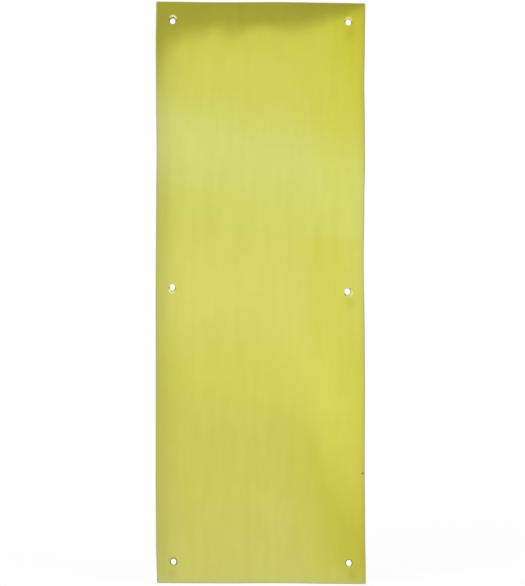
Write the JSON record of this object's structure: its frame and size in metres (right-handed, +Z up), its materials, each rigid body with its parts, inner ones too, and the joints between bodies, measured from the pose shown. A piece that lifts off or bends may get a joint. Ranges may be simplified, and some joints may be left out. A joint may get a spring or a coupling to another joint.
{
  "type": "door finger plate",
  "caption": "Plain flat rectangular brass plate that is screwed to a door to guard it from finger marks, with countersunk screw holes along both long edges.",
  "frame": {"origin": "middle of the back face, which lies on the door", "axes": "+Z up the door along the plate's length, +X to the right as seen from the front, +Y into the door"},
  "size_m": [0.1094, 0.0015, 0.3058],
  "materials": {
    "brass_sheet": "polished sheet brass, worn to a soft satin, with faint tarnish"
  },
  "bodies": {
    "root": {"finger_plate": "brass_sheet"}
  },
  "joints": []
}
